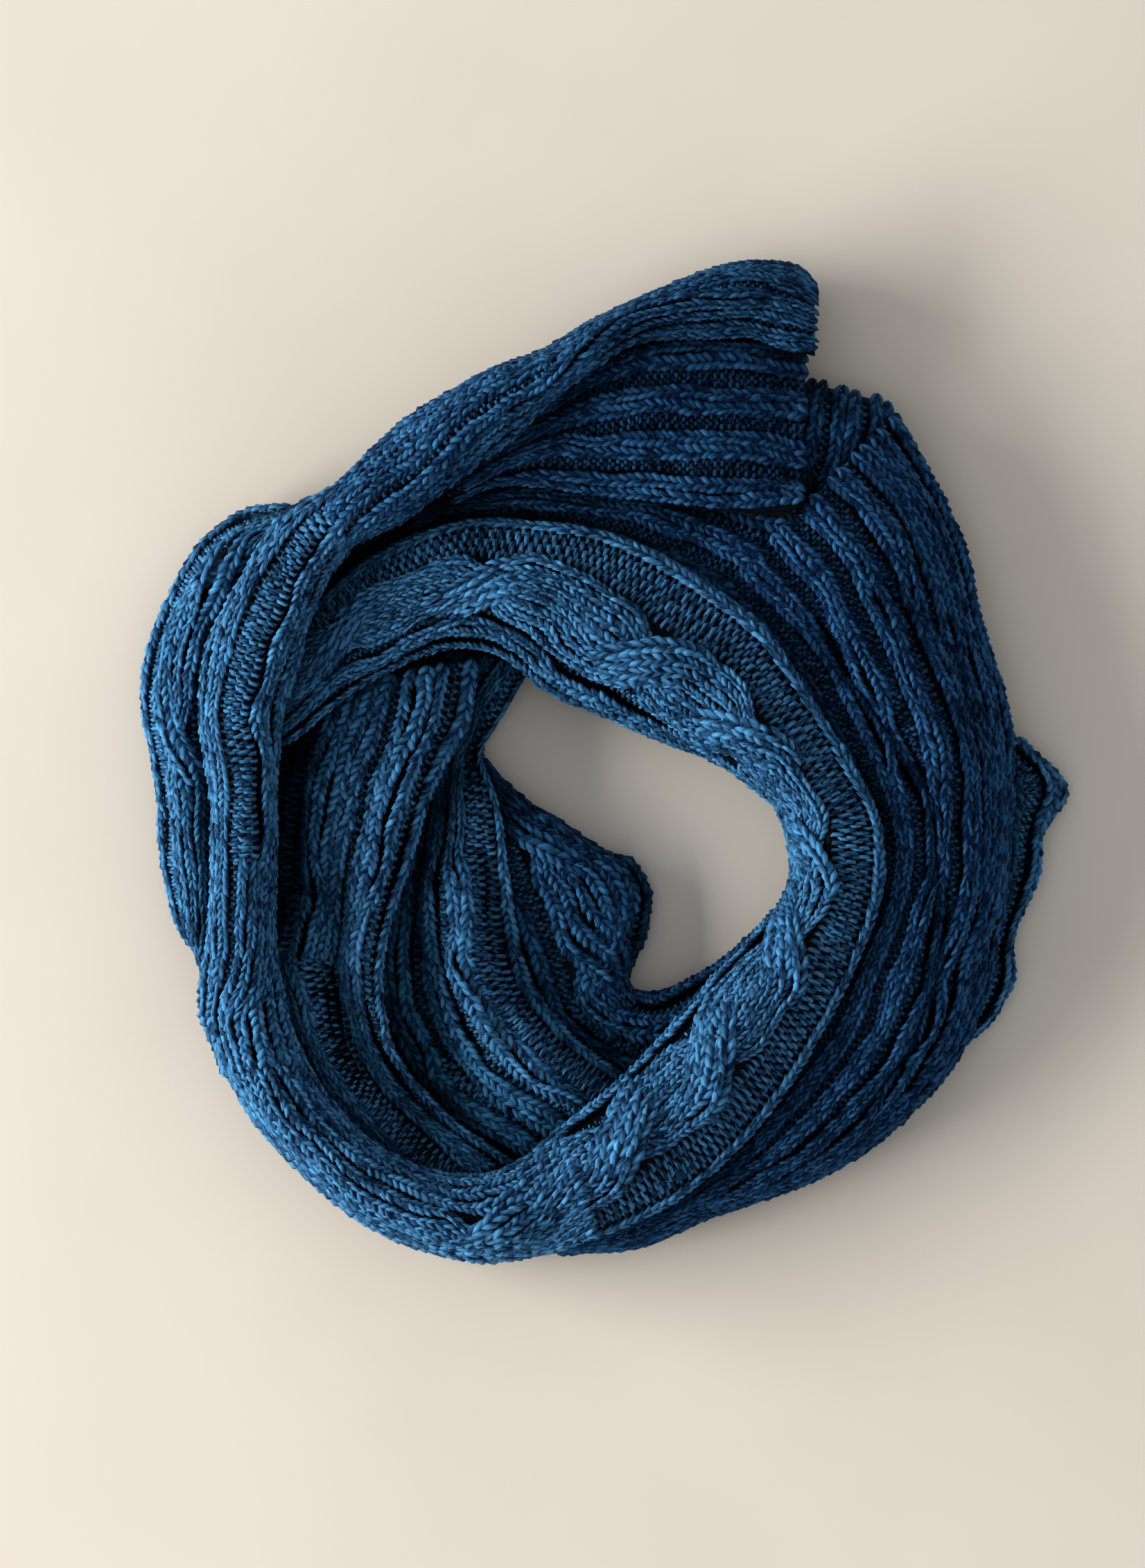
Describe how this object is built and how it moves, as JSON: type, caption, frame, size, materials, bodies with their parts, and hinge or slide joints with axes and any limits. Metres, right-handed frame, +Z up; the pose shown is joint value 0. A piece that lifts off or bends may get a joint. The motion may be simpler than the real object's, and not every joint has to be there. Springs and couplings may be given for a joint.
{
  "type": "scarf",
  "caption": "Chunky cable-and-rib knit scarf laid flat in a loose coil, with a rolled end and a ribbed hem on top, for neckwear and as a soft prop.",
  "frame": {"origin": "on the surface that the scarf lies on, at the middle of its outline", "axes": "+Z up, away from the surface; +Y towards the end of the scarf that lies on top; +X to the right of it"},
  "size_m": [0.3342, 0.3622, 0.0645],
  "materials": {
    "marl_knit": "matt fuzzy wool yarn, dark navy and mid blue plies twisted into a marl",
    "hidden_knit": "the same matt wool knit, in shade inside the coil"
  },
  "bodies": {
    "root": {"tail_edge_layer": "marl_knit", "hole_corner_stretch": "marl_knit", "inner_right_stretch": "marl_knit", "inner_lower_stretch": "marl_knit", "inner_left_stretch": "marl_knit", "turned_triangle": "marl_knit", "top_outer_stretch": "marl_knit", "right_outer_stretch": "marl_knit", "top_inner_stretch": "marl_knit", "right_inner_stretch": "marl_knit", "left_outer_stretch": "marl_knit", "left_inner_stretch": "marl_knit", "bottom_stretch": "marl_knit", "end_flap": "marl_knit", "rolled_rope_stretch": "marl_knit", "hidden_layers": "hidden_knit"}
  },
  "joints": []
}
